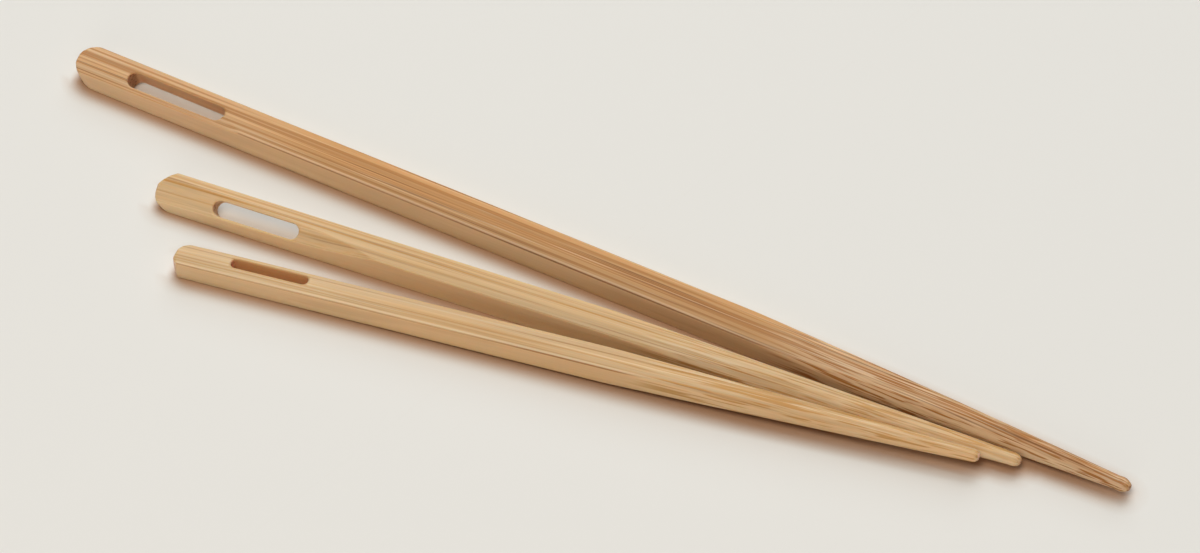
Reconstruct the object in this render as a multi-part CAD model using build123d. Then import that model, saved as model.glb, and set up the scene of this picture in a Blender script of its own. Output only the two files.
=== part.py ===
from build123d import *
from collections import namedtuple
from math import atan2, cos, degrees, hypot, radians, sin
import os

# A set of three bamboo yarn needles lying side by side on a table.
# Each needle is carved from one squared bamboo strip: a long flat-sided shank,
# a slightly thinned head with one long eye, and a blunt round taper to the tip.
# Millimetres, +Z up, +X along the set from the heads towards the tips,
# +Y away from the side on which the smallest needle lies.

# Large needle
LARGE_LENGTH = 126.5
LARGE_STRIP_WIDTH = 3.86
LARGE_STRIP_HEIGHT = 2.94
LARGE_TAPER_LENGTH = 45.5
LARGE_TAPER_SWELL = 0.12
LARGE_TIP_DIAMETER = 1.5
LARGE_TIP_ROUND = 1.5
LARGE_EYE_LENGTH = 12.1
LARGE_EYE_WIDTH = 1.9
LARGE_EYE_START = 6.55
LARGE_EYE_OFFSET = 0.05
LARGE_HEAD_THICKNESS = 2.9
LARGE_EYE_THICKNESS = 3.3
LARGE_RUN_OUT_LENGTH = 2.6
LARGE_FAR_CORNER_LENGTH = 1.75
LARGE_FAR_CORNER_DEPTH = 1.9
LARGE_NEAR_CORNER_LENGTH = 2.9
LARGE_NEAR_CORNER_DEPTH = 1.95

# Medium needle
MEDIUM_LENGTH = 98.65
MEDIUM_STRIP_WIDTH = 3.22
MEDIUM_STRIP_HEIGHT = 3.19
MEDIUM_TAPER_LENGTH = 47.5
MEDIUM_TAPER_SWELL = 0.06
MEDIUM_TIP_DIAMETER = 1.4
MEDIUM_TIP_ROUND = 1.0
MEDIUM_EYE_LENGTH = 10.1
MEDIUM_EYE_WIDTH = 1.74
MEDIUM_EYE_START = 6.9
MEDIUM_EYE_OFFSET = -0.12
MEDIUM_HEAD_THICKNESS = 1.6
MEDIUM_EYE_THICKNESS = 2.54
MEDIUM_RUN_OUT_LENGTH = 9.0
MEDIUM_FAR_CORNER_LENGTH = 1.8
MEDIUM_FAR_CORNER_DEPTH = 1.85
MEDIUM_NEAR_CORNER_LENGTH = 1.95
MEDIUM_NEAR_CORNER_DEPTH = 1.8

# Small needle
SMALL_LENGTH = 89.05
SMALL_STRIP_WIDTH = 2.9
SMALL_STRIP_HEIGHT = 2.56
SMALL_TAPER_LENGTH = 42.0
SMALL_TAPER_SWELL = 0.05
SMALL_TIP_DIAMETER = 1.38
SMALL_TIP_ROUND = 0.8
SMALL_EYE_LENGTH = 8.75
SMALL_EYE_WIDTH = 1.18
SMALL_EYE_START = 6.25
SMALL_EYE_OFFSET = 0.46
SMALL_HEAD_THICKNESS = 2.46
SMALL_EYE_THICKNESS = 2.52
SMALL_RUN_OUT_LENGTH = 4.0
SMALL_FAR_CORNER_LENGTH = 1.35
SMALL_FAR_CORNER_DEPTH = 1.45
SMALL_NEAR_CORNER_LENGTH = 0.65
SMALL_NEAR_CORNER_DEPTH = 0.8

# Worn and sanded details that all three needles share
LONG_EDGE_ROUND = 0.22
RIM_EASE = 0.1
HEAD_EASE = 0.22
FLAT_PAST_EYE = 0.4
TIP_FLAT_SHARE = 0.4
TIP_ROUND_SHARE = 0.14
ROUND_CORNER_SHARE = 0.17
STRAIGHT_CORNER_SHARE = 0.05
HEAD_WIDTH_SHARE = 0.995
CUT_MARGIN = 3.0

# How each eye is turned about its needle, and how each needle lies on the table
LARGE_EYE_ROLL = 17.5
MEDIUM_EYE_ROLL = 34.5
SMALL_EYE_ROLL = 0.0
LARGE_HEADING = -27.23
MEDIUM_HEADING = -21.74
SMALL_HEADING = -17.66

# Where the tips come together: how far back from its neighbour's tip each one lies, the
# clearance between them, and how high up the medium needle's flank the small tip leans
MEDIUM_TIP_BACK = 11.4
SMALL_TIP_BACK = 4.08
TIP_GAP = 0.31
SMALL_TIP_RISE = 28.2

Needle = namedtuple("Needle", [
    "length", "width", "height",
    "taper_length", "taper_swell", "tip_diameter", "tip_round",
    "eye_length", "eye_width", "eye_start", "eye_offset", "eye_roll",
    "head_thickness", "eye_thickness", "run_out_length",
    "far_corner", "near_corner", "heading",
])

Corner = namedtuple("Corner", ["length", "depth", "bulge_share"])

LARGE = Needle(
    length=LARGE_LENGTH,
    width=LARGE_STRIP_WIDTH,
    height=LARGE_STRIP_HEIGHT,
    taper_length=LARGE_TAPER_LENGTH,
    taper_swell=LARGE_TAPER_SWELL,
    tip_diameter=LARGE_TIP_DIAMETER,
    tip_round=LARGE_TIP_ROUND,
    eye_length=LARGE_EYE_LENGTH,
    eye_width=LARGE_EYE_WIDTH,
    eye_start=LARGE_EYE_START,
    eye_offset=LARGE_EYE_OFFSET,
    eye_roll=LARGE_EYE_ROLL,
    head_thickness=LARGE_HEAD_THICKNESS,
    eye_thickness=LARGE_EYE_THICKNESS,
    run_out_length=LARGE_RUN_OUT_LENGTH,
    far_corner=Corner(LARGE_FAR_CORNER_LENGTH, LARGE_FAR_CORNER_DEPTH, ROUND_CORNER_SHARE),
    near_corner=Corner(LARGE_NEAR_CORNER_LENGTH, LARGE_NEAR_CORNER_DEPTH, ROUND_CORNER_SHARE),
    heading=LARGE_HEADING,
)

MEDIUM = Needle(
    length=MEDIUM_LENGTH,
    width=MEDIUM_STRIP_WIDTH,
    height=MEDIUM_STRIP_HEIGHT,
    taper_length=MEDIUM_TAPER_LENGTH,
    taper_swell=MEDIUM_TAPER_SWELL,
    tip_diameter=MEDIUM_TIP_DIAMETER,
    tip_round=MEDIUM_TIP_ROUND,
    eye_length=MEDIUM_EYE_LENGTH,
    eye_width=MEDIUM_EYE_WIDTH,
    eye_start=MEDIUM_EYE_START,
    eye_offset=MEDIUM_EYE_OFFSET,
    eye_roll=MEDIUM_EYE_ROLL,
    head_thickness=MEDIUM_HEAD_THICKNESS,
    eye_thickness=MEDIUM_EYE_THICKNESS,
    run_out_length=MEDIUM_RUN_OUT_LENGTH,
    far_corner=Corner(MEDIUM_FAR_CORNER_LENGTH, MEDIUM_FAR_CORNER_DEPTH, STRAIGHT_CORNER_SHARE),
    near_corner=Corner(MEDIUM_NEAR_CORNER_LENGTH, MEDIUM_NEAR_CORNER_DEPTH, ROUND_CORNER_SHARE),
    heading=MEDIUM_HEADING,
)

SMALL = Needle(
    length=SMALL_LENGTH,
    width=SMALL_STRIP_WIDTH,
    height=SMALL_STRIP_HEIGHT,
    taper_length=SMALL_TAPER_LENGTH,
    taper_swell=SMALL_TAPER_SWELL,
    tip_diameter=SMALL_TIP_DIAMETER,
    tip_round=SMALL_TIP_ROUND,
    eye_length=SMALL_EYE_LENGTH,
    eye_width=SMALL_EYE_WIDTH,
    eye_start=SMALL_EYE_START,
    eye_offset=SMALL_EYE_OFFSET,
    eye_roll=SMALL_EYE_ROLL,
    head_thickness=SMALL_HEAD_THICKNESS,
    eye_thickness=SMALL_EYE_THICKNESS,
    run_out_length=SMALL_RUN_OUT_LENGTH,
    far_corner=Corner(SMALL_FAR_CORNER_LENGTH, SMALL_FAR_CORNER_DEPTH, ROUND_CORNER_SHARE),
    near_corner=Corner(SMALL_NEAR_CORNER_LENGTH, SMALL_NEAR_CORNER_DEPTH, STRAIGHT_CORNER_SHARE),
    heading=SMALL_HEADING,
)


# In the functions below a needle lies along +X with the centre of its head end at the
# origin, flat underside down. Its far side is +Y.

def bulged_line(start, end, bulge):
    """An arc from start to end that stands out from the chord by bulge, to its left."""
    run = end[0] - start[0]
    rise = end[1] - start[1]
    chord = hypot(run, rise)
    middle_x = (start[0] + end[0]) / 2 - bulge * rise / chord
    middle_y = (start[1] + end[1]) / 2 + bulge * run / chord
    return ThreePointArc(start, (middle_x, middle_y), end)


def closed_face(pieces):
    """The face inside a closed outline made of joined lines and arcs."""
    return make_face(Curve() + pieces)


def half_diagonal(n):
    """Half the diagonal of the squared strip, which is where the taper starts to cut it."""
    return hypot(n.width, n.height) / 2


def strip(n):
    """The squared strip that the needle is carved from, with its long edges worn round."""
    head_width = n.width * HEAD_WIDTH_SHARE
    head_section = RectangleRounded(head_width, n.height, LONG_EDGE_ROUND)
    full_section = RectangleRounded(n.width, n.height, LONG_EDGE_ROUND)
    head_end = Plane(origin=(0, 0, 0), x_dir=(0, 1, 0), z_dir=(1, 0, 0))
    taper_start = n.length - n.taper_length
    shank_end = head_end.offset(taper_start)
    shank = loft([head_end * head_section, shank_end * full_section])
    return shank + extrude(shank_end * full_section, amount=n.taper_length)


def taper(n):
    """The round form that turns the end of the strip into a taper with a blunt tip."""
    clear_radius = half_diagonal(n) + CUT_MARGIN
    start = (n.length - n.taper_length, half_diagonal(n))
    tip_radius = n.tip_diameter / 2
    tip_start = (n.length - n.tip_round, tip_radius)
    tip_end = (n.length, tip_radius * TIP_FLAT_SHARE)
    tip_chord = hypot(n.tip_round, tip_radius - tip_end[1])
    outline = [
        Line((0, 0), (0, clear_radius)),
        Line((0, clear_radius), (start[0], clear_radius)),
        Line((start[0], clear_radius), start),
        bulged_line(start, tip_start, n.taper_swell),
        bulged_line(tip_start, tip_end, tip_chord * TIP_ROUND_SHARE),
        Line(tip_end, (n.length, 0)),
        Line((n.length, 0), (0, 0)),
    ]
    return revolve(Plane.XZ * closed_face(outline), Axis.X)


def rolled(n, shape):
    """A shape drawn about an upright eye, turned about the needle to the eye's own angle."""
    return Rot(X=n.eye_roll) * shape


def corner_reach(n):
    """How far the corners of the strip stand out from the needle's axis across the eye."""
    roll = radians(abs(n.eye_roll))
    return n.width / 2 * cos(roll) + n.height / 2 * sin(roll)


def face_reach(n):
    """How far the corners of the strip stand out from the axis along the eye."""
    roll = radians(abs(n.eye_roll))
    return n.height / 2 * cos(roll) + n.width / 2 * sin(roll)


def head_corner(side_end, head_end, corner, turn):
    """One worn corner of the head, from the needle's side to its end."""
    chord = hypot(corner.length, corner.depth)
    return bulged_line(side_end, head_end, turn * chord * corner.bulge_share)


def head_outline(n):
    """The form, seen along the eye, that takes the two corners off the end of the head."""
    reach = corner_reach(n)
    clear = reach + CUT_MARGIN
    outline = [
        Line((n.length, -clear), (n.length, clear)),
        Line((n.length, clear), (n.far_corner.length, clear)),
        Line((n.far_corner.length, clear), (n.far_corner.length, reach)),
        head_corner((n.far_corner.length, reach), (0, reach - n.far_corner.depth), n.far_corner, -1),
        Line((0, reach - n.far_corner.depth), (0, n.near_corner.depth - reach)),
        head_corner((n.near_corner.length, -reach), (0, n.near_corner.depth - reach), n.near_corner, 1),
        Line((n.near_corner.length, -reach), (n.near_corner.length, -clear)),
        Line((n.near_corner.length, -clear), (n.length, -clear)),
    ]
    return rolled(n, extrude(closed_face(outline), amount=clear, both=True))


def flattening(n):
    """The form, seen across the eye, that thins the head and runs out into the shank."""
    end_half = n.head_thickness / 2
    eye_half = n.eye_thickness / 2
    flat_end = n.eye_start + n.eye_length + FLAT_PAST_EYE
    run_out_end = flat_end + n.run_out_length
    clear = face_reach(n) + CUT_MARGIN
    flat_run = (flat_end - HEAD_EASE, eye_half - end_half)
    upper = [
        Line((0, 0), (0, end_half - HEAD_EASE)),
        Line((0, end_half - HEAD_EASE), (HEAD_EASE, end_half)),
        Line((HEAD_EASE, end_half), (flat_end, eye_half)),
        TangentArc((flat_end, eye_half), (run_out_end, face_reach(n)), tangent=flat_run),
        Line((run_out_end, face_reach(n)), (run_out_end, clear)),
        Line((run_out_end, clear), (n.length, clear)),
        Line((n.length, clear), (n.length, 0)),
        Line((n.length, 0), (0, 0)),
    ]
    side = extrude(Plane.XZ * closed_face(upper), amount=clear, both=True)
    return rolled(n, side + mirror(side, Plane.XY))


def eye_rim(n):
    """The worn rim of the eye on one flattened face of the head."""
    rise = (n.eye_thickness - n.head_thickness) / 2
    run = n.eye_start + n.eye_length + FLAT_PAST_EYE - HEAD_EASE
    middle_x = n.eye_start + n.eye_length / 2
    middle_z = n.head_thickness / 2 + rise * (middle_x - HEAD_EASE) / run
    slope = degrees(atan2(rise, run))
    face = Pos(middle_x, n.eye_offset, middle_z) * Rot(Y=-slope)
    outer = SlotOverall(n.eye_length + 4 * RIM_EASE, n.eye_width + 4 * RIM_EASE)
    inner = SlotOverall(n.eye_length - 2 * RIM_EASE, n.eye_width - 2 * RIM_EASE)
    return face * loft([Pos(0, 0, RIM_EASE) * outer, Pos(0, 0, -2 * RIM_EASE) * inner])


def eye(n):
    """The long eye with rounded ends, cut right through the head, with a worn rim each side."""
    middle_x = n.eye_start + n.eye_length / 2
    slot = Pos(middle_x, n.eye_offset, 0) * SlotOverall(n.eye_length, n.eye_width)
    through = extrude(slot, amount=face_reach(n) + CUT_MARGIN, both=True)
    rim = eye_rim(n)
    return rolled(n, through + rim + mirror(rim, Plane.XY))


def carved_needle(n):
    """One needle, carved from its strip."""
    blank = strip(n) & taper(n)
    head = blank & head_outline(n) & flattening(n)
    return head - eye(n)


def taper_radius(n, back):
    """The radius of a needle's taper at a distance back from its tip."""
    tip_radius = n.tip_diameter / 2
    taper_share = (back - n.tip_round) / (n.taper_length - n.tip_round)
    swell = 4 * n.taper_swell * taper_share * (1 - taper_share)
    return tip_radius + (half_diagonal(n) - tip_radius) * taper_share + swell


def tip_distance(n, neighbour, back):
    """From a needle's tip to its neighbour's axis, with the clearance between them."""
    return taper_radius(neighbour, back) + TIP_GAP + n.tip_diameter / 2


def beside(neighbour, place, back, across):
    """The place back from the neighbour's tip and across from its axis, on its near side."""
    heading = radians(neighbour.heading)
    x = place[0] - back * cos(heading) + across * sin(heading)
    y = place[1] - back * sin(heading) - across * cos(heading)
    return (x, y)


def laid_down(n, place, lean):
    """One needle resting on the table, its tip in its place and raised by its lean."""
    from_tip = Pos(X=-n.length) * carved_needle(n)
    turned = Rot(Z=n.heading) * Rot(Y=-lean) * from_tip
    lowest = turned.bounding_box().min.Z
    return Pos(place[0], place[1], -lowest) * turned


def needle_set():
    """The three needles, fanned out with their tips together, the small one on the medium."""
    large_tip = (0, 0)
    medium_across = tip_distance(MEDIUM, LARGE, MEDIUM_TIP_BACK)
    medium_tip = beside(LARGE, large_tip, MEDIUM_TIP_BACK, medium_across)
    small_distance = tip_distance(SMALL, MEDIUM, SMALL_TIP_BACK)
    rise = radians(SMALL_TIP_RISE)
    small_tip = beside(MEDIUM, medium_tip, SMALL_TIP_BACK, small_distance * cos(rise))
    small_tip_height = MEDIUM.height / 2 + small_distance * sin(rise)
    small_lean = degrees(atan2(small_tip_height - SMALL.height / 2, SMALL.length))
    return {
        "large_needle": laid_down(LARGE, large_tip, 0),
        "medium_needle": laid_down(MEDIUM, medium_tip, 0),
        "small_needle": laid_down(SMALL, small_tip, small_lean),
    }


def save(name, shape, shift):
    """Writes one needle in the frame of the set, under its own name."""
    solid = shift * shape.solid()
    solid.label = name
    export_step(solid, f"parts/{name}.step")


needles = needle_set()
box = Compound(children=[needle.solid() for needle in needles.values()]).bounding_box()
to_origin = Pos(-box.center().X, -box.center().Y, -box.min.Z)

os.makedirs("parts", exist_ok=True)
for name, needle in needles.items():
    save(name, needle, to_origin)
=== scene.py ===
from collections import namedtuple
from functools import partial
from math import atan2, cos, hypot, pi, radians, sin

import bmesh
import bpy
from bpy.props import FloatProperty, FloatVectorProperty, PointerProperty
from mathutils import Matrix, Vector


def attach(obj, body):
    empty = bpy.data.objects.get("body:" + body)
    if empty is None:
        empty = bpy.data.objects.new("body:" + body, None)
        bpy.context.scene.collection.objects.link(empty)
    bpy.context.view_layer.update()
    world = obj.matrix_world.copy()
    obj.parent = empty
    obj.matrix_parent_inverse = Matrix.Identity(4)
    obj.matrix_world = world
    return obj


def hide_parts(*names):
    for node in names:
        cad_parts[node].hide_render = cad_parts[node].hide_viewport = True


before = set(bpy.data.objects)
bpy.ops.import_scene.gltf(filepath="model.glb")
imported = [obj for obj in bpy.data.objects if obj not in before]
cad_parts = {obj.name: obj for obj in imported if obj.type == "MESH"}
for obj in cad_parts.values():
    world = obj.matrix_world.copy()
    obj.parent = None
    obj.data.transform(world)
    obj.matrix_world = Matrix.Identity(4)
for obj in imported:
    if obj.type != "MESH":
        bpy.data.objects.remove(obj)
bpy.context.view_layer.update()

# Three bamboo yarn needles on a table. Each one is carved from its squared strip as the
# real one is: the strip is cut, its end is turned to a blunt taper, its head is thinned
# and its corners are taken off, the eye is cut through, and the whole is sanded.
# While it is carved a needle lies along +X with the middle of its head end at the origin,
# and it is then laid down in its own place in the set.

bl_info = {
    "name": "Bamboo Yarn Needles",
    "version": (1, 0, 0),
    "blender": (4, 5, 0),
    "location": "3D View > Sidebar > Yarn Needles",
    "description": "Carves a set of three bamboo yarn needles and lays them on a table",
    "category": "Add Mesh",
}

MM = 0.001


# Sizes and places

# What each size of a needle is: its name, what it measures, and whether it is an angle
SIZE_FIELDS = {
    "length": ("Length", "From the end of the head to the tip", False),
    "strip_width": ("Strip width", "Width of the squared strip", False),
    "strip_height": ("Strip height", "Height of the squared strip", False),
    "taper_length": ("Taper length", "How far from the tip the round taper starts", False),
    "taper_swell": ("Taper swell", "How far the taper bulges over a straight cone", False),
    "tip_diameter": ("Tip diameter", "Diameter just behind the rounded tip", False),
    "tip_round": ("Tip rounding", "Length of the rounded end of the tip", False),
    "eye_length": ("Eye length", "Length of the eye along the needle", False),
    "eye_width": ("Eye width", "Width of the eye across the needle", False),
    "eye_start": ("Eye start", "From the end of the head to the eye", False),
    "eye_offset": ("Eye offset", "How far the eye is off the middle, to the far side", False),
    "eye_roll": ("Eye roll", "How far the eye is turned about the needle", True),
    "head_thickness": ("Head thickness", "Thickness at the end of the head", False),
    "eye_thickness": ("Eye thickness", "Thickness just past the eye", False),
    "run_out": ("Run-out", "Length over which the thinned head runs into the shank", False),
    "far_corner_length": ("Far corner length", "Far corner of the head, along the needle", False),
    "far_corner_depth": ("Far corner depth", "Far corner of the head, across the needle", False),
    "far_corner_bulge": ("Far corner bulge", "How far the far corner bulges", False),
    "near_corner_length": ("Near corner length", "Near corner of the head, along the needle", False),
    "near_corner_depth": ("Near corner depth", "Near corner of the head, across the needle", False),
    "near_corner_bulge": ("Near corner bulge", "How far the near corner bulges", False),
}

# Sizes in millimetres and degrees
LARGE_SIZES = dict(
    length=126.5, strip_width=3.86, strip_height=2.94, taper_length=45.5, taper_swell=0.12,
    tip_diameter=1.5, tip_round=1.5, eye_length=12.1, eye_width=1.9, eye_start=6.55,
    eye_offset=0.05, eye_roll=17.5, head_thickness=2.9, eye_thickness=3.3, run_out=2.6,
    far_corner_length=1.75, far_corner_depth=1.9, far_corner_bulge=0.44,
    near_corner_length=2.9, near_corner_depth=1.95, near_corner_bulge=0.59,
)
MEDIUM_SIZES = dict(
    length=98.65, strip_width=3.22, strip_height=3.19, taper_length=47.5, taper_swell=0.06,
    tip_diameter=1.4, tip_round=1.0, eye_length=10.1, eye_width=1.74, eye_start=6.9,
    eye_offset=-0.12, eye_roll=34.5, head_thickness=1.6, eye_thickness=2.54, run_out=9.0,
    far_corner_length=1.8, far_corner_depth=1.85, far_corner_bulge=0.13,
    near_corner_length=1.95, near_corner_depth=1.8, near_corner_bulge=0.45,
)
SMALL_SIZES = dict(
    length=89.05, strip_width=2.9, strip_height=2.56, taper_length=42.0, taper_swell=0.05,
    tip_diameter=1.38, tip_round=0.8, eye_length=8.75, eye_width=1.18, eye_start=6.25,
    eye_offset=0.46, eye_roll=0.0, head_thickness=2.46, eye_thickness=2.52, run_out=4.0,
    far_corner_length=1.35, far_corner_depth=1.45, far_corner_bulge=0.34,
    near_corner_length=0.65, near_corner_depth=0.8, near_corner_bulge=0.05,
)


def size_properties(values):
    """One needle's sizes as properties, with its own values as the defaults."""
    made = {}
    for key, (name, description, is_angle) in SIZE_FIELDS.items():
        if is_angle:
            made[key] = FloatProperty(
                name=name, description=description, default=radians(values[key]),
                subtype="ANGLE")
        else:
            made[key] = FloatProperty(
                name=name, description=description, default=values[key] * MM,
                precision=5, unit="LENGTH")
    return made


class LargeNeedleSizes(bpy.types.PropertyGroup):
    """Sizes of the large needle"""
    __annotations__ = size_properties(LARGE_SIZES)


class MediumNeedleSizes(bpy.types.PropertyGroup):
    """Sizes of the medium needle"""
    __annotations__ = size_properties(MEDIUM_SIZES)


class SmallNeedleSizes(bpy.types.PropertyGroup):
    """Sizes of the small needle"""
    __annotations__ = size_properties(SMALL_SIZES)


# Each needle's place: the middle of its head end, its heading on the table and its lean
LARGE_PLACE = ((-56.127 * MM, 28.381 * MM, 1.47 * MM), radians(-27.23), 0.0)
MEDIUM_PLACE = ((-46.432 * MM, 10.28 * MM, 1.595 * MM), radians(-21.74), 0.0)
SMALL_PLACE = ((-44.028 * MM, 0.776 * MM, 1.227 * MM), radians(-17.66), radians(0.756))


# Colours

def linear(hex_colour):
    """The linear red, green and blue of an sRGB hex colour such as #D9B98C."""
    values = [int(hex_colour[place:place + 2], 16) / 255 for place in (1, 3, 5)]
    return tuple(v / 12.92 if v <= 0.04045 else ((v + 0.055) / 1.055) ** 2.4 for v in values)


def bamboo_properties(ground, bundle, line, pale, end, side):
    """One needle's bamboo colours as properties."""
    texts = {
        "ground": (ground, "The soft tissue between the fibre bundles"),
        # The bundle colour also stands as painted shade on the walls of the eyes
        "bundle": (bundle, "The golden fibre bundles"),
        "line": (line, "The fine dark lines beside the bundles"),
        # The pale colour also stands as the painted highlight above the near upper edge
        "pale": (pale, "The fine pale lines where fibres are torn"),
        "end": (end, "The end grain, where the bundles are cut across"),
        # The side colour is lighter and cooler than the ground: painted light and sheen on the
        # sides, and partly the bamboo's own paler side face
        "side": (side, "The soft tissue on the two sides of the strip"),
    }
    return {key: FloatVectorProperty(name=key.capitalize(), description=text, subtype="COLOR",
                                     default=linear(colour), min=0, max=1)
            for key, (colour, text) in texts.items()}


class CaramelBamboo(bpy.types.PropertyGroup):
    """Colours of the large needle's steamed bamboo"""
    __annotations__ = bamboo_properties(
        "#CA9A62", "#AC7030", "#774618", "#E2C19A", "#C89A74", "#EDCEA4")


class StrawBamboo(bpy.types.PropertyGroup):
    """Colours of the medium needle's natural bamboo"""
    __annotations__ = bamboo_properties(
        "#D5B282", "#C08A3C", "#955A22", "#E6CDA8", "#D3AA84", "#E9CB9F")


class PaleBamboo(bpy.types.PropertyGroup):
    """Colours of the small needle's natural bamboo"""
    # The end colour here is paler than the bamboo's own end grain: painted light on the lit end
    # facets of the head
    __annotations__ = bamboo_properties(
        "#D3B082", "#C08C44", "#966028", "#E2CAA4", "#F2C8B0", "#E5BF8F")


class StageColours(bpy.types.PropertyGroup):
    """Colours of the stage"""
    table: FloatVectorProperty(
        name="Table", description="The pale table under the needles",
        subtype="COLOR", default=linear("#E9E7E2"), min=0, max=1)


# Modelling by hand

def only(piece):
    """Selects one piece and nothing else."""
    bpy.ops.object.select_all(action="DESELECT")
    piece.select_set(True)
    bpy.context.view_layer.objects.active = piece


def named(name):
    """Names the piece that was just added."""
    piece = bpy.context.object
    piece.name = name
    piece.data.name = name
    return piece


def pick(piece, kind, test):
    """In edit mode, selects the faces or the edges that pass a test."""
    bpy.ops.mesh.select_mode(type={"faces": "FACE", "edges": "EDGE"}[kind])
    bpy.ops.mesh.select_all(action="DESELECT")
    mesh = bmesh.from_edit_mesh(piece.data)
    for element in getattr(mesh, kind):
        if test(element):
            element.select_set(True)
    mesh.select_flush_mode()
    bmesh.update_edit_mesh(piece.data)


def apply_place(piece):
    """Puts a piece's place, turn and size into its mesh."""
    only(piece)
    bpy.ops.object.transform_apply(location=True, rotation=True, scale=True)


def apply_modifier(piece, kind, **settings):
    """Adds one modifier, sets it up and applies it."""
    only(piece)
    bpy.ops.object.modifier_add(type=kind)
    modifier = piece.modifiers[-1]
    for key, value in settings.items():
        setattr(modifier, key, value)
    bpy.ops.object.modifier_apply(modifier=modifier.name)


def carve(piece, tool, operation):
    """Cuts a piece with a tool, or keeps only what lies inside the tool."""
    apply_modifier(piece, "BOOLEAN", object=tool, operation=operation, solver="EXACT")
    bpy.data.objects.remove(tool)


def drawn_bar(name, sides, sections):
    """A bar drawn out along X through its sections, each (x, y, half width, half height)."""
    x, y, half_width, half_height = sections[0]
    if sides == 4:
        bpy.ops.mesh.primitive_plane_add(size=2, rotation=(0, pi / 2, 0))
    else:
        bpy.ops.mesh.primitive_circle_add(
            vertices=sides, radius=1, fill_type="NGON", rotation=(0, pi / 2, 0))
    bar = named(name)
    bpy.ops.object.transform_apply(rotation=True)
    bar.scale = (1, half_width, half_height)
    bar.location = (x, y, 0)
    apply_place(bar)
    bpy.ops.object.mode_set(mode="EDIT")
    bpy.ops.mesh.select_all(action="SELECT")
    for next_x, next_y, next_width, next_height in sections[1:]:
        bpy.ops.mesh.extrude_region_move(
            TRANSFORM_OT_translate={"value": (next_x - x, next_y - y, 0)})
        bpy.ops.transform.resize(
            value=(1, next_width / half_width, next_height / half_height),
            center_override=(next_x, next_y, 0))
        x, y, half_width, half_height = next_x, next_y, next_width, next_height
    bpy.ops.mesh.select_all(action="SELECT")
    bpy.ops.mesh.normals_make_consistent(inside=False)
    bpy.ops.object.mode_set(mode="OBJECT")
    return bar


def arc_points(start, end, bulge, steps):
    """Points after start along a shallow arc to end, which bulges to the left of the chord."""
    run, rise = end[0] - start[0], end[1] - start[1]
    chord = hypot(run, rise)
    points = []
    for step in range(1, steps + 1):
        share = step / steps
        out = 4 * bulge * share * (1 - share)
        points.append((start[0] + run * share - out * rise / chord,
                       start[1] + rise * share + out * run / chord))
    return points


def height_at(points, x):
    """The height of an outline of points at x."""
    for (x0, y0), (x1, y1) in zip(points, points[1:]):
        if x <= x1:
            return y0 + (y1 - y0) * (x - x0) / (x1 - x0)
    return points[-1][1]


# The squared strip and the forms that cut it

# How far the long edges of the strip are sanded round
ARRIS_ROUND = 0.07 * MM
ARRIS_SEGMENTS = 2

# How far a cutting form stands clear of the strip, and how far past its cut it gets there
CLEAR = 3 * MM
PAST_CUT = 1 * MM


def strip(n):
    """The squared bamboo strip, with its four long edges sanded round."""
    bpy.ops.mesh.primitive_cube_add(
        size=1, location=(n.length / 2, 0, 0), scale=(n.length, n.strip_width, n.strip_height))
    piece = named("strip")
    apply_place(piece)
    bpy.ops.object.mode_set(mode="EDIT")
    pick(piece, "edges", lambda e: abs(e.verts[0].co.x - e.verts[1].co.x) > n.length / 2)
    bpy.ops.mesh.bevel(offset=ARRIS_ROUND, segments=ARRIS_SEGMENTS, affect="EDGES")
    bpy.ops.object.mode_set(mode="OBJECT")
    return piece


# The flat end of the tip as a share of its radius, and how far its rounding bulges as a
# share of the rounding's length
TIP_FLAT_SHARE = 0.4
TIP_BULGE_SHARE = 0.14

# The sides of the taper and the steps of its two curves
TAPER_SIDES = 96
TAPER_STEPS = 24
TIP_STEPS = 8


def taper(n):
    """The round form that the end of the strip is turned down to."""
    half_diagonal = hypot(n.strip_width, n.strip_height) / 2
    radius = n.tip_diameter / 2
    start = (n.length - n.taper_length, half_diagonal)
    tip_start = (n.length - n.tip_round, radius)
    tip_end = (n.length, radius * TIP_FLAT_SHARE)
    tip_bulge = hypot(n.tip_round, radius - tip_end[1]) * TIP_BULGE_SHARE
    outline = [(-CLEAR, half_diagonal + CLEAR), (start[0] - CLEAR, half_diagonal + CLEAR), start]
    outline += arc_points(start, tip_start, n.taper_swell, TAPER_STEPS)
    outline += arc_points(tip_start, tip_end, tip_bulge, TIP_STEPS)
    return drawn_bar("taper", TAPER_SIDES, [(x, 0, r, r) for x, r in outline])


# The steps of each corner's curve, and the decimals to which two places count as one
CORNER_STEPS = 12
PLACE_DIGITS = 7


def head_outline(n):
    """The form, seen along the eye, that takes the two corners off the head."""
    reach = n.strip_width / 2 * cos(n.eye_roll) + n.strip_height / 2 * sin(n.eye_roll)
    edges = []
    for length, depth, bulge in (
            (n.far_corner_length, n.far_corner_depth, n.far_corner_bulge),
            (n.near_corner_length, n.near_corner_depth, n.near_corner_bulge)):
        start = (0, reach - depth)
        edge = [start] + arc_points(start, (length, reach), bulge, CORNER_STEPS)
        edge.append((edge[-1][0] + PAST_CUT, reach + CLEAR))
        edge.append((n.length + CLEAR, reach + CLEAR))
        edges.append(edge)
    far, near = edges
    places = sorted({round(x, PLACE_DIGITS) for edge in edges for x, y in edge})
    sections = []
    for x in places:
        far_y, near_y = height_at(far, x), -height_at(near, x)
        sections.append((x, (far_y + near_y) / 2, (far_y - near_y) / 2, CLEAR * 2))
    bar = drawn_bar("head_outline", 4, sections)
    bar.rotation_euler.x = n.eye_roll
    return bar


# The worn edge round the end of the head, and how far the thinned head stays flat past the eye
HEAD_EASE = 0.22 * MM
FLAT_PAST_EYE = 0.4 * MM
RUN_OUT_STEPS = 10


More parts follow.
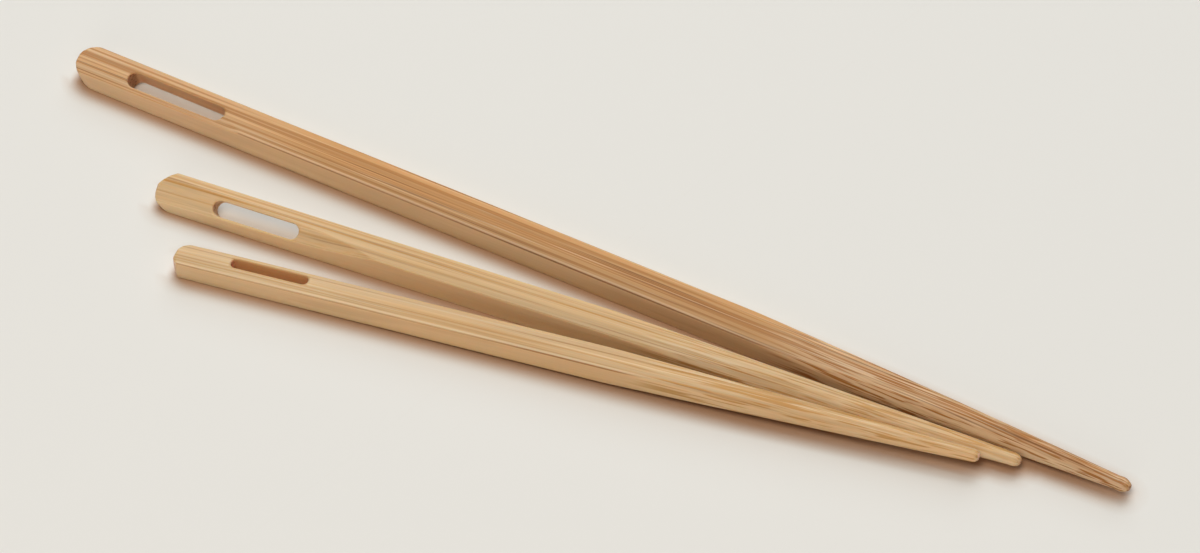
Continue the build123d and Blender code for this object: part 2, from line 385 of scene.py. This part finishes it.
def flattening(n):
    """The form, seen across the eye, that thins the head and runs out into the shank."""
    reach = n.strip_height / 2 * cos(n.eye_roll) + n.strip_width / 2 * sin(n.eye_roll)
    end_half, eye_half = n.head_thickness / 2, n.eye_thickness / 2
    flat_end = n.eye_start + n.eye_length + FLAT_PAST_EYE
    slope = (eye_half - end_half) / (flat_end - HEAD_EASE)
    rise = reach - eye_half
    outline = [(0, end_half - HEAD_EASE), (HEAD_EASE, end_half), (flat_end, eye_half)]
    for step in range(1, RUN_OUT_STEPS + 1):
        share = step / RUN_OUT_STEPS
        straight = slope * n.run_out
        outline.append((flat_end + n.run_out * share,
                        eye_half + straight * share + (rise - straight) * share ** 2))
    outline += [(flat_end + n.run_out + PAST_CUT, reach + CLEAR / 2),
                (n.length + CLEAR, reach + CLEAR)]
    bar = drawn_bar("flattening", 4, [(x, 0, CLEAR * 2, half) for x, half in outline])
    bar.rotation_euler.x = n.eye_roll
    return bar


# The ends of a slot are rounded by just under half its width, so that the two arcs of an end
# don't cross, and the points that nearly meet there are then merged
SLOT_ROUND_SHARE = 0.9995
SLOT_SEGMENTS = 12
SLOT_MERGE = 0.002 * MM


def slot_prism(name, length, width, low, high, place):
    """An upright prism with a long, round-ended section."""
    bpy.ops.mesh.primitive_cube_add(
        size=1, location=(place[0], place[1], (low + high) / 2), scale=(length, width, high - low))
    prism = named(name)
    apply_place(prism)
    bpy.ops.object.mode_set(mode="EDIT")
    pick(prism, "edges", lambda e: abs(e.verts[0].co.z - e.verts[1].co.z) > (high - low) / 2)
    bpy.ops.mesh.bevel(
        offset=width / 2 * SLOT_ROUND_SHARE, segments=SLOT_SEGMENTS, affect="EDGES")
    bpy.ops.mesh.select_all(action="SELECT")
    bpy.ops.mesh.remove_doubles(threshold=SLOT_MERGE)
    bpy.ops.object.mode_set(mode="OBJECT")
    return prism


def eye(n):
    """The long round-ended eye, right through the head."""
    place = (n.eye_start + n.eye_length / 2, n.eye_offset)
    through = slot_prism("eye", n.eye_length, n.eye_width, -2 * CLEAR, 2 * CLEAR, place)
    through.rotation_euler.x = n.eye_roll
    return through


# How far the rim of the eye is worn off, and how squarely the tool's foot looks down
RIM_EASE = 0.1 * MM
FACING_DOWN = -0.9


def eye_rim(n, side):
    """The worn rim of the eye on one face of the head, the upper one or the lower one."""
    run = n.eye_start + n.eye_length + FLAT_PAST_EYE - HEAD_EASE
    rise = (n.eye_thickness - n.head_thickness) / 2
    middle_x = n.eye_start + n.eye_length / 2
    middle_z = n.head_thickness / 2 + rise * (middle_x - HEAD_EASE) / run
    # The sloped foot of the tool meets the face one ease outside the eye, and the eye's wall
    # one ease below the face
    rim = slot_prism("eye_rim", n.eye_length + 4 * RIM_EASE, n.eye_width + 4 * RIM_EASE,
                     RIM_EASE, 6 * RIM_EASE, (0, 0))
    bpy.ops.object.mode_set(mode="EDIT")
    pick(rim, "faces", lambda f: f.normal.z < FACING_DOWN)
    bpy.ops.mesh.inset(thickness=3 * RIM_EASE, depth=3 * RIM_EASE)
    bpy.ops.object.mode_set(mode="OBJECT")
    rim.rotation_euler = (0 if side > 0 else pi, -side * atan2(rise, run), 0)
    rim.location = (middle_x, n.eye_offset, side * middle_z)
    apply_place(rim)
    rim.rotation_euler.x = n.eye_roll
    return rim


# The sanded skin

# How many times longer than wide the faces of the skin are, because the shape changes least
# along the needle
SKIN_STRETCH = 2.0

# The width of the faces of each needle's skin
LARGE_SKIN = 0.115 * MM
MEDIUM_SKIN = 0.105 * MM
SMALL_SKIN = 0.095 * MM

# How far sanding draws each point of the skin towards its neighbours
SANDING = 0.5

# The ridges of each kind: how long, wide and high they are
WAVER_RIDGES = (26 * MM, 5 * MM, 0.06 * MM)
FIBRE_RIDGES = (9 * MM, 0.32 * MM, 0.022 * MM)


def sanded(piece, skin):
    """Turns the cut faces into one even skin and just takes the sharpness off its edges."""
    only(piece)
    bpy.ops.object.duplicate()
    cut = bpy.context.object
    piece.scale = (1 / SKIN_STRETCH, 1, 1)
    apply_place(piece)
    apply_modifier(piece, "REMESH", mode="VOXEL", voxel_size=skin, adaptivity=0)
    piece.scale = (SKIN_STRETCH, 1, 1)
    apply_place(piece)
    apply_modifier(piece, "SHRINKWRAP", target=cut, wrap_method="NEAREST_SURFACEPOINT")
    bpy.data.objects.remove(cut)
    apply_modifier(piece, "SMOOTH", factor=SANDING, iterations=1)


def fibrous(piece, name, ridge):
    """Raises long low ridges on a piece, as the fibres do that sanding leaves standing."""
    length, width, height = ridge
    bpy.ops.object.empty_add()
    grain = bpy.context.object
    grain.scale = (length, width, width)
    ridges = bpy.data.textures.new(name, "CLOUDS")
    ridges.noise_scale = 1.0
    ridges.noise_depth = 1
    bpy.context.view_layer.update()
    apply_modifier(piece, "DISPLACE", texture=ridges, texture_coords="OBJECT",
                   texture_coords_object=grain, strength=height, mid_level=0.5)
    bpy.data.objects.remove(grain)
    bpy.data.textures.remove(ridges)


def carved_needle(name, n, place, skin):
    """One whole needle, carved, sanded and laid down in its place."""
    needle = strip(n)
    carve(needle, taper(n), "INTERSECT")
    carve(needle, flattening(n), "INTERSECT")
    carve(needle, head_outline(n), "INTERSECT")
    carve(needle, eye(n), "DIFFERENCE")
    carve(needle, eye_rim(n, 1), "DIFFERENCE")
    carve(needle, eye_rim(n, -1), "DIFFERENCE")
    sanded(needle, skin)
    fibrous(needle, "waver", WAVER_RIDGES)
    fibrous(needle, "fibres", FIBRE_RIDGES)
    spot, heading, lean = place
    needle.rotation_euler = (0, -lean, heading)
    needle.location = spot
    apply_place(needle)
    bpy.ops.object.shade_smooth()
    needle.name = name
    needle.data.name = name
    return needle


# Materials

def add_node(tree, kind, *inputs, **named_values):
    """Adds a node. Its open inputs take values, nodes or outputs, in order or by name, and a
    name in small letters is one of the node's own settings."""
    node = tree.nodes.new("ShaderNode" + kind)
    by_name = {}
    for key, value in named_values.items():
        if key[0].islower():
            setattr(node, key, value)
        else:
            by_name[key.replace("_", " ")] = value
    pairs = list(zip([socket for socket in node.inputs if socket.enabled], inputs))
    pairs += [(node.inputs[key], value) for key, value in by_name.items()]
    for socket, value in pairs:
        if isinstance(value, bpy.types.Node):
            value = next(output for output in value.outputs if output.enabled)
        if isinstance(value, bpy.types.NodeSocket):
            tree.links.new(value, socket)
        else:
            socket.default_value = value
    return node


def new_material(name):
    """An empty material and the function that adds a node to it."""
    material = bpy.data.materials.new(name)
    material.use_nodes = True
    material.node_tree.nodes.clear()
    return material, partial(add_node, material.node_tree)


# Settings of the nodes that the patterns use over and over
TIMES = {"operation": "MULTIPLY"}
EASED = {"interpolation_type": "SMOOTHSTEP"}
COLOURS = {"data_type": "RGBA"}

# A kind of streak along the fibres: its length and width in millimetres, how many times
# deeper than wide it goes into the wood, which draw of the noise it is, the noise's detail,
# and the levels of the noise between which it comes up
Streak = namedtuple("Streak", "length width ply draw detail low high")

# Fibre bundles lie 0.3 to 0.5 mm apart in bamboo, and a strip shows them as unbroken golden
# lines. The bold ones break now and then.
BUNDLES = Streak(60, 0.36, 12, 1, 1, 0.50, 0.64)
BREAKS = Streak(30, 0.5, 12, 7, 1, 0.35, 0.6)
DARK_LINES = Streak(30, 0.17, 12, 2, 1, 0.59, 0.69)
PALE_LINES = Streak(22, 0.22, 12, 3, 1, 0.57, 0.70)

# The taper is turned across the bundles, which leaves short marks on every side of it
TAPER_DASHES = Streak(8, 0.19, 1.5, 6, 1, 0.51, 0.61)
TAPER_PATCHES = Streak(9, 0.2, 1.5, 8, 1, 0.54, 0.63)

# Single fibres are some 0.015 mm thick, too fine to show, so they are drawn eight times as
# coarse. The broad bands are the slow change of colour through the wall of the cane.
FIBRES = Streak(10, 0.12, 2, 4, 2, 0.3, 0.7)
BANDS = Streak(90, 0.8, 12, 5, 2, 0.3, 0.7)

# How strongly the finer detail of the noise shows in every kind of streak
STREAK_ROUGHNESS = 0.55

# What single fibres do: their gold between these levels, how strong it is, how far they
# lighten and darken the wood, and how far the broad bands do
GOLD_LEVELS = (0.52, 0.72)
GOLD_SHARE = 0.35
FIBRE_TONE = 0.08
BAND_TONE = 0.07

# How squarely a face looks across the needle where it starts to be a side of the strip and
# where it is one, and along the needle where it starts to be end grain and where it is
SIDE_FACING = (0.6, 0.9)
END_FACING = (0.55, 0.9)

# From where to where, in shares of the taper's length from the tip, the marks of turning start
TURNED_SHARES = (0.95, 0.78)

# The least that a bold bundle keeps in a break, and its core and edge as shares of its half
# width
BREAK_SHARE = 0.45
BOLD_CORE_SHARE = 0.4
BOLD_EDGE_SHARE = 1.3

# The dark line along the near upper edge of a strip and the painted highlight above it: how far from
# the edge each starts to fade and where it ends, and how strong the painted highlight is beside the
# dark line
ARRIS_LINE = (0.07 * MM, 0.18 * MM)
ARRIS_HIGHLIGHT = (0.3 * MM, 0.45 * MM)
ARRIS_HIGHLIGHT_SHARE = 0.7

# The cut ends of the bundles: their length along the needle and their spacing on the end
# grain in millimetres, where each one's dot fades as shares of that, and how dark it is
DOT_SIZE = (1.2, 0.42, 0.42)
DOT_FADE = (0.18, 0.4)
DOT_SHARE = 0.6

# Distances from the end of the head over which its paleness fades, and the slant of light
# and dark and the tone change to those of the shank
PALE_HEAD_FADE = (12 * MM, 34 * MM)
SLANT_CHANGE = (20 * MM, 50 * MM)
TONE_CHANGE = (30 * MM, 60 * MM)

# The width over which the painted shade on an eye's wall fades into the face
EYE_WALL_SHADE_EDGE = 0.15 * MM

# Sanded bamboo without varnish: a soft sheen, and a little light that comes back warm from
# under the surface
WOOD_ROUGHNESS = 0.55
WOOD_SPECULAR = 0.3
WOOD_GLOW = 0.4
WOOD_GLOW_RADIUS = (1.0, 0.5, 0.25)
WOOD_GLOW_SCALE = 1.4 * MM
FIBRE_BUMP = 0.3
FIBRE_BUMP_HEIGHT = 0.05 * MM


def bamboo(name, colours, n, place, look):
    """Planed and sanded bamboo: straight golden bundles, fine dark and pale lines, short
    dashes on the turned taper, and brown dots on the end grain. Its own look gives each
    needle the strengths of these."""
    material, add = new_material(name)
    spot, heading, lean = place
    axis = Vector((cos(heading) * cos(lean), sin(heading) * cos(lean), sin(lean)))
    across = Vector((-sin(heading), cos(heading), 0))
    here = add("TexCoord")

    # Places on the needle as it lies, and the same with its fibres a little aslant in it
    lying = {"vector_type": "TEXTURE", "Vector": here.outputs["Object"], "Location": spot}
    on_needle = add("SeparateXYZ", add("Mapping", Rotation=(0, -lean, heading), **lying))
    from_head, from_middle, from_core = (on_needle.outputs[letter] for letter in "XYZ")
    along = add("Mapping", Rotation=(0, -lean, heading + radians(look["tilt"])), **lying)

    def fibre_noise(streak):
        """Noise drawn out along the fibres to the size of one kind of streak."""
        sizes = (streak.length, streak.width, streak.width * streak.ply)
        drawn_out = add("VectorMath", along, tuple(1 / (size * MM) for size in sizes), **TIMES)
        return add("TexNoise", noise_dimensions="4D", Vector=drawn_out, Scale=1.0,
                   W=look["seed"] + streak.draw, Detail=streak.detail,
                   Roughness=STREAK_ROUGHNESS)

    def streaks(streak, least, most):
        """How strongly one kind of streak shows, from least to most."""
        return add("MapRange", fibre_noise(streak), streak.low, streak.high, least, most, **EASED)

    def facing(direction):
        """How squarely the surface faces along a direction, either way."""
        dot = add("VectorMath", here.outputs["Normal"], direction, operation="DOT_PRODUCT")
        return add("Math", dot, operation="ABSOLUTE")

    # Where on the needle a place is
    side = add("MapRange", facing(across), *SIDE_FACING, 0.0, 1.0, **EASED)
    top = add("MapRange", facing(across), *SIDE_FACING, 1.0, look["side_contrast"], **EASED)
    cut_across = add("MapRange", facing(axis), *END_FACING, 0.0, 1.0, **EASED)
    turned = add("MapRange", from_head,
                 *(n.length - share * n.taper_length for share in TURNED_SHARES), 0.0, 1.0, **EASED)
    along_eye = add("Math", from_head, n.eye_start + n.eye_length / 2, operation="SUBTRACT")
    along_eye = add("Math", along_eye, operation="ABSOLUTE")
    across_eye = add("Math", add("Math", from_middle, cos(n.eye_roll), **TIMES),
                     add("Math", from_core, sin(n.eye_roll), **TIMES), operation="ADD")
    across_eye = add("Math", across_eye, n.eye_offset, operation="SUBTRACT")
    across_eye = add("Math", across_eye, operation="ABSOLUTE")
    # Painted warm shade on the walls of the eye, in the bundles' colour
    eye_wall_painted_shade = add("Math",
                 add("MapRange", along_eye, n.eye_length / 2, n.eye_length / 2 + EYE_WALL_SHADE_EDGE,
                     look["eye"], 0.0, **EASED),
                 add("MapRange", across_eye, n.eye_width / 2, n.eye_width / 2 + EYE_WALL_SHADE_EDGE,
                     1.0, 0.0, **EASED), **TIMES)
    before_arris = add("Math", from_middle, n.strip_width / 2, operation="ADD")
    before_arris = add("Math", before_arris, 2.0, operation="POWER")
    over_arris = add("Math", from_core, n.strip_height / 2, operation="SUBTRACT")
    over_arris = add("Math", over_arris, 2.0, operation="POWER")
    off_arris = add("Math", before_arris, over_arris, operation="ADD")
    off_arris = add("Math", off_arris, operation="SQRT")

    # Streaks and lines
    fibres = fibre_noise(FIBRES)
    unbroken = streaks(BREAKS, BREAK_SHARE, 1.0)
    bundles = add("Math", streaks(BUNDLES, 0.0, look["bundle"]), top, **TIMES)
    for place_across, half_width, strength in look["bold"]:
        off = add("Math", from_middle, place_across * MM, operation="SUBTRACT")
        bold = add("MapRange", add("Math", off, operation="ABSOLUTE"),
                   half_width * BOLD_CORE_SHARE * MM, half_width * BOLD_EDGE_SHARE * MM,
                   strength, 0.0, **EASED)
        bold = add("Math", bold, add("Math", unbroken, top, **TIMES), **TIMES)
        bundles = add("Math", bundles, bold, operation="MAXIMUM")
    golden = add("MapRange", fibres, *GOLD_LEVELS, 0.0, GOLD_SHARE, **EASED)
    bundles = add("Math", bundles, add("Math", golden, top, **TIMES), operation="MAXIMUM")
    dashes = add("Math", streaks(TAPER_DASHES, 0.0, look["dash"]), turned, **TIMES)
    arris = add("MapRange", off_arris, *ARRIS_LINE, look["arris"], 0.0, **EASED)
    dark = add("Math", add("Math", streaks(DARK_LINES, 0.0, look["line"]), top, **TIMES),
               add("Math", arris, unbroken, **TIMES), operation="MAXIMUM")
    # A painted highlight on the top face just above the near upper edge, in the pale colour
    painted_arris_highlight = add("MapRange", off_arris, *ARRIS_HIGHLIGHT, ARRIS_HIGHLIGHT_SHARE * look["arris"], 0.0,
                      **EASED)
    painted_arris_highlight = add("Math", painted_arris_highlight, add("Math", 1.0, side, operation="SUBTRACT"), **TIMES)
    pale = add("Math", add("Math", streaks(PALE_LINES, 0.0, look["pale"]), top, **TIMES),
               add("Math", streaks(TAPER_PATCHES, 0.0, look["patch"]), turned, **TIMES),
               operation="MAXIMUM")
    pale = add("Math", pale, painted_arris_highlight, operation="MAXIMUM")

    # Colours
    # The sides take the side colour: painted light and sheen, and partly the bamboo's own paler side
    # face
    ground = add("Mix", side, (*colours.ground, 1), (*colours.side, 1), **COLOURS)
    paler = add("Math", add("MapRange", from_head, *PALE_HEAD_FADE, look["head"], 0.0, **EASED),
                add("Math", turned, look["taper"], **TIMES), operation="MAXIMUM")
    colour = add("Mix", paler, ground, (*colours.pale, 1), **COLOURS)
    colour = add("Mix", bundles, colour, (*colours.bundle, 1), **COLOURS)
    colour = add("Mix", pale, colour, (*colours.pale, 1), **COLOURS)
    colour = add("Mix", dashes, colour, (*colours.bundle, 1), **COLOURS)
    colour = add("Mix", dark, colour, (*colours.line, 1), **COLOURS)
    spaced = add("VectorMath", along, tuple(1 / (size * MM) for size in DOT_SIZE), **TIMES)
    dots = add("TexVoronoi", Vector=spaced, Scale=1.0)
    dots = add("MapRange", dots, *DOT_FADE, DOT_SHARE, 0.0, **EASED)
    ends = add("Mix", dots, (*colours.end, 1), (*colours.line, 1), **COLOURS)
    colour = add("Mix", cut_across, colour, ends, **COLOURS)
    colour = add("Mix", eye_wall_painted_shade, colour, (*colours.bundle, 1), **COLOURS)

    # Light and dark
    fine = add("MapRange", fibres, FIBRES.low, FIBRES.high, -FIBRE_TONE, FIBRE_TONE, **EASED)
    coarser = add("Math", turned, look["taper"], 1.0, operation="MULTIPLY_ADD")
    fine = add("Math", add("Math", fine, top, **TIMES), coarser, **TIMES)
    half = n.strip_width / 2
    slant = add("Math", add("MapRange", from_middle, -half, half, -1.0, 1.0, **EASED),
                add("MapRange", from_head, *SLANT_CHANGE, *look["slant"], **EASED), **TIMES)
    tone = add("Math", streaks(BANDS, 1 - BAND_TONE, 1 + BAND_TONE),
               add("Math", fine, 1.0, operation="ADD"), **TIMES)
    tone = add("Math", tone, add("Math", slant, 1.0, operation="ADD"), **TIMES)
    tone = add("Math", tone,
               add("MapRange", from_head, *TONE_CHANGE, 1.0, look["late"], **EASED), **TIMES)

    shader = add("BsdfPrincipled",
                 Base_Color=add("VectorMath", colour, tone, operation="SCALE"),
                 Normal=add("Bump", Height=fibres, Strength=FIBRE_BUMP,
                            Distance=FIBRE_BUMP_HEIGHT),
                 Roughness=WOOD_ROUGHNESS, Specular_IOR_Level=WOOD_SPECULAR,
                 Subsurface_Weight=WOOD_GLOW, Subsurface_Radius=WOOD_GLOW_RADIUS,
                 Subsurface_Scale=WOOD_GLOW_SCALE)
    add("OutputMaterial", Surface=shader)
    return material


# Each needle's own grain: its draw of the noise, the tilt of its fibres in degrees, and the
# strengths of its bundles, dark and pale lines, sides, dashes, patches, edge line with its
# painted highlight, pale head and taper, and painted shade on its eye walls. Slant is how far
# the far side is lighter than the near one at the head and past it, late is the tone past the
# head, and bold gives the boldest bundles as their places across the needle and half widths in
# millimetres, and strengths.

# Steamed bamboo, sanded: caramel brown, with strong dark lines and short marks on its taper
CARAMEL = dict(
    seed=3.1, tilt=0.1, bundle=0.7, line=0.6, pale=0.5, side_contrast=0.35, dash=0.95,
    patch=0.8, arris=0.8, head=0.45, eye=0.08, slant=(0.03, 0.13), late=0.93, taper=0.5,
    bold=((0.37, 0.26, 0.85), (-0.4, 0.1, 0.5)))

# Natural bamboo, sanded: straw yellow, with narrow gold lines
STRAW = dict(
    seed=12.4, tilt=0.15, bundle=0.5, line=0.4, pale=0.45, side_contrast=0.4, dash=0.7,
    patch=0.5, arris=0.0, head=0.25, eye=0.08, slant=(0.05, 0.12), late=0.96, taper=0.2,
    bold=((0.43, 0.12, 0.8), (-0.55, 0.09, 0.6), (1.0, 0.06, 0.4)))

# Paler natural bamboo, sanded: even in colour, with strong painted shade on its eye walls
PALE = dict(
    seed=27.7, tilt=-0.1, bundle=0.55, line=0.4, pale=0.45, side_contrast=0.35, dash=0.8,
    patch=0.5, arris=0.8, head=0.3, eye=0.3, slant=(0.02, 0.05), late=0.98, taper=0.1,
    bold=((-0.28, 0.12, 0.75), (-0.94, 0.1, 0.45), (0.17, 0.09, 0.4)))


# How far the painted warm shade beside the bamboo reaches over the table and in how many
# samples that is judged, how open the table is to the room where the painted shade is full and
# where there is none, and what the full painted shade leaves of the table's colour
PAINTED_SHADE_REACH = 2.5 * MM
PAINTED_SHADE_SAMPLES = 8
PAINTED_SHADE_FULL, PAINTED_SHADE_NONE = 0.52, 1.0
PAINTED_SHADE_TINT = (0.6, 0.37, 0.23)

# Matt wall paint, without any sheen to speak of
PAINT_ROUGHNESS = 0.9
PAINT_SPECULAR = 0.1

# The patch of table under an eye, which the room lights through the eye and where the
# painted shade is left off: how far its middle is behind the needle's, and half its width
LARGE_EYE_PATCH = (1.2 * MM, 0.85 * MM)
MEDIUM_EYE_PATCH = (0.95 * MM, 1.3 * MM)

# The patch of table off the end of a head, where the painted shade is left off: how far its
# middle is from the end and behind the needle's, half its length and half its width
END_PATCH = (-1.6 * MM, 0.0, 2.4 * MM, 3.6 * MM)

# Where each kind of patch starts to fade and where it ends, as shares of its half size
EYE_PATCH_FADE = (0.8, 1.05)
END_PATCH_FADE = (0.3, 1.05)


def table_paint_with_painted_shade(colour, eyes):
    """Matt paint on the table, with painted warm shade close beside the needles, which stands for
    their shadow and the warm light the bamboo throws, left off where daylight falls through the
    eyes and past the ends of the heads."""
    material, add = new_material("table_matt_paint")
    here = add("TexCoord").outputs["Object"]
    # Painted warm shade where the needles close the table in
    room = add("AmbientOcclusion", samples=PAINTED_SHADE_SAMPLES, Distance=PAINTED_SHADE_REACH).outputs["AO"]
    shade_free = add("MapRange", room, PAINTED_SHADE_FULL, PAINTED_SHADE_NONE, 0.0, 1.0, **EASED)
    patches = [(place, n.eye_start + n.eye_length / 2, behind, n.eye_length / 2 + half_width,
                half_width, EYE_PATCH_FADE)
               for n, place, (behind, half_width) in eyes]
    patches += [(place, *END_PATCH, END_PATCH_FADE)
                for place in (LARGE_PLACE, MEDIUM_PLACE, SMALL_PLACE)]
    for place, middle, behind, half_length, half_width, fade in patches:
        (x, y, _), heading, _ = place
        on_patch = add("Mapping", vector_type="TEXTURE", Vector=here,
                       Location=(x + middle * cos(heading) - behind * sin(heading),
                                 y + middle * sin(heading) + behind * cos(heading), 0),
                       Rotation=(0, 0, heading), Scale=(half_length, half_width, 1))
        apart = add("SeparateXYZ", on_patch).outputs
        reach = add("Math", add("Math", apart["X"], operation="ABSOLUTE"),
                    add("Math", apart["Y"], operation="ABSOLUTE"), operation="MAXIMUM")
        shade_free = add("Math", shade_free, add("MapRange", reach, *fade, 1.0, 0.0, **EASED),
                   operation="MAXIMUM")
    # The colour of the table under the full painted shade
    warm = tuple(part * share for part, share in zip(colour, PAINTED_SHADE_TINT))
    shader = add("BsdfPrincipled",
                 Base_Color=add("Mix", shade_free, (*warm, 1), (*colour, 1), **COLOURS),
                 Roughness=PAINT_ROUGHNESS, Specular_IOR_Level=PAINT_SPECULAR)
    add("OutputMaterial", Surface=shader)
    return material


# The stage

# The table is wide enough to fill every view
TABLE_SIZE = 8

# The soft lamps: their names, places and sizes in metres, powers in watts, and colours. The
# two behind are cool, as from a window, and the two in front are warm, as from a lit room.
COOL = (0.905, 0.965, 1.0)
WARM = (1.0, 0.9, 0.8)
LAMPS = (
    ("high_back", (0.03, 0.339, 1.046), 0.7, 4.02, COOL),
    ("low_back", (0.168, 0.951, 0.87), 1.1, 7.73, COOL),
    ("front_high", (-0.17, -0.334, 0.927), 0.35, 4.15, WARM),
    ("front_card", (-0.301, -1.125, 0.29), 0.9, 3.23, WARM),
)
ROOM_LIGHT = (0.98, 0.99, 1.0, 1)
ROOM_STRENGTH = 0.06

# The camera looks down at 52 degrees from in front, through a long lens. Its lens and its
# sensor are in millimetres, and what it can see starts and ends at distances in metres.
CAMERA_PLACE = (1.51 * MM, -311.34 * MM, 397.67 * MM)
CAMERA_TURN = (radians(38), 0, 0)
LENS = 141
SENSOR_WIDTH = 36
CLIP_START, CLIP_END = 0.01, 50


def soft_light(name, place, size, power, colour):
    """A large soft lamp at its place, facing the needles."""
    bpy.ops.object.light_add(type="AREA", location=place)
    lamp = bpy.context.object
    lamp.name = name
    lamp.data.size = size
    lamp.data.energy = power
    lamp.data.color = colour
    lamp.visible_camera = False
    lamp.rotation_euler = (-Vector(place)).to_track_quat("-Z", "Y").to_euler()


def soft_world(colour):
    """Even light from all round, and the table's colour where only the camera looks."""
    world = bpy.data.worlds.new("soft_room")
    bpy.context.scene.world = world
    world.use_nodes = True
    world.node_tree.nodes.clear()
    add = partial(add_node, world.node_tree)
    mixed = add("MixShader", add("LightPath").outputs["Is Camera Ray"],
                add("Background", Color=ROOM_LIGHT, Strength=ROOM_STRENGTH),
                add("Background", Color=(*colour, 1), Strength=1.0))
    add("OutputWorld", Surface=mixed)


# Operators

class SetStage(bpy.types.Operator):
    """Lay the table, light it softly and place the camera"""
    bl_idname = "yarn_needles.set_stage"
    bl_label = "Stage"

    def execute(self, context):
        scene = context.scene
        colour = scene.needle_stage.table
        bpy.ops.object.select_all(action="DESELECT")
        bpy.ops.mesh.primitive_plane_add(size=TABLE_SIZE, location=(0, 0, 0))
        table = named("table")
        eyes = ((scene.large_needle, LARGE_PLACE, LARGE_EYE_PATCH),
                (scene.medium_needle, MEDIUM_PLACE, MEDIUM_EYE_PATCH))
        table.data.materials.append(table_paint_with_painted_shade(colour, eyes))
        for lamp in LAMPS:
            soft_light(*lamp)
        soft_world(colour)
        bpy.ops.object.camera_add(location=CAMERA_PLACE, rotation=CAMERA_TURN)
        camera = bpy.context.object
        camera.name = "camera"
        camera.data.lens = LENS
        camera.data.sensor_width = SENSOR_WIDTH
        camera.data.clip_start = CLIP_START
        camera.data.clip_end = CLIP_END
        scene.camera = camera
        scene.view_settings.view_transform = "Standard"
        return {"FINISHED"}


class CarveLargeNeedle(bpy.types.Operator):
    """Carve the large needle and lay it down"""
    bl_idname = "yarn_needles.carve_large"
    bl_label = "Large Needle"

    def execute(self, context):
        n = context.scene.large_needle
        needle = carved_needle("large_needle_bamboo", n, LARGE_PLACE, LARGE_SKIN)
        needle.data.materials.append(bamboo(
            "caramel_bamboo_sanded", context.scene.large_bamboo, n, LARGE_PLACE, CARAMEL))
        finish_piece(needle, "large", "large_needle")
        return {"FINISHED"}


class CarveMediumNeedle(bpy.types.Operator):
    """Carve the medium needle and lay it down"""
    bl_idname = "yarn_needles.carve_medium"
    bl_label = "Medium Needle"

    def execute(self, context):
        n = context.scene.medium_needle
        needle = carved_needle("medium_needle_bamboo", n, MEDIUM_PLACE, MEDIUM_SKIN)
        needle.data.materials.append(bamboo(
            "straw_bamboo_sanded", context.scene.medium_bamboo, n, MEDIUM_PLACE, STRAW))
        finish_piece(needle, "medium", "medium_needle")
        return {"FINISHED"}


class CarveSmallNeedle(bpy.types.Operator):
    """Carve the small needle and lay it down"""
    bl_idname = "yarn_needles.carve_small"
    bl_label = "Small Needle"

    def execute(self, context):
        n = context.scene.small_needle
        needle = carved_needle("small_needle_bamboo", n, SMALL_PLACE, SMALL_SKIN)
        needle.data.materials.append(bamboo(
            "pale_bamboo_sanded", context.scene.small_bamboo, n, SMALL_PLACE, PALE))
        finish_piece(needle, "small", "small_needle")
        return {"FINISHED"}


# A needle with fewer faces than this has lost its skin
FEWEST_SKIN_FACES = 1000


def finish_piece(needle, body, node):
    """Lets a needle ride on its body and stand for its plain solid."""
    if len(needle.data.polygons) < FEWEST_SKIN_FACES:
        raise RuntimeError(f"{needle.name} came out without its skin")
    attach(needle, body)
    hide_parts(node)


class NeedlePanel(bpy.types.Panel):
    """Lists what lays the stage and carves the needles"""
    bl_idname = "VIEW3D_PT_yarn_needles"
    bl_label = "Yarn Needles"
    bl_space_type = "VIEW_3D"
    bl_region_type = "UI"
    bl_category = "Yarn Needles"

    def draw(self, context):
        for operator in OPERATORS:
            self.layout.operator(operator.bl_idname)


SETTINGS = {
    "large_needle": LargeNeedleSizes,
    "medium_needle": MediumNeedleSizes,
    "small_needle": SmallNeedleSizes,
    "large_bamboo": CaramelBamboo,
    "medium_bamboo": StrawBamboo,
    "small_bamboo": PaleBamboo,
    "needle_stage": StageColours,
}
OPERATORS = (SetStage, CarveLargeNeedle, CarveMediumNeedle, CarveSmallNeedle)


def register():
    for name, group in SETTINGS.items():
        bpy.utils.register_class(group)
        setattr(bpy.types.Scene, name, PointerProperty(type=group))
    for operator in OPERATORS:
        bpy.utils.register_class(operator)
    bpy.utils.register_class(NeedlePanel)


def unregister():
    bpy.utils.unregister_class(NeedlePanel)
    for operator in reversed(OPERATORS):
        bpy.utils.unregister_class(operator)
    for name, group in reversed(SETTINGS.items()):
        delattr(bpy.types.Scene, name)
        bpy.utils.unregister_class(group)


def main():
    register()
    bpy.ops.yarn_needles.set_stage()
    bpy.ops.yarn_needles.carve_large()
    bpy.ops.yarn_needles.carve_medium()
    bpy.ops.yarn_needles.carve_small()


if __name__ == "__main__":
    main()
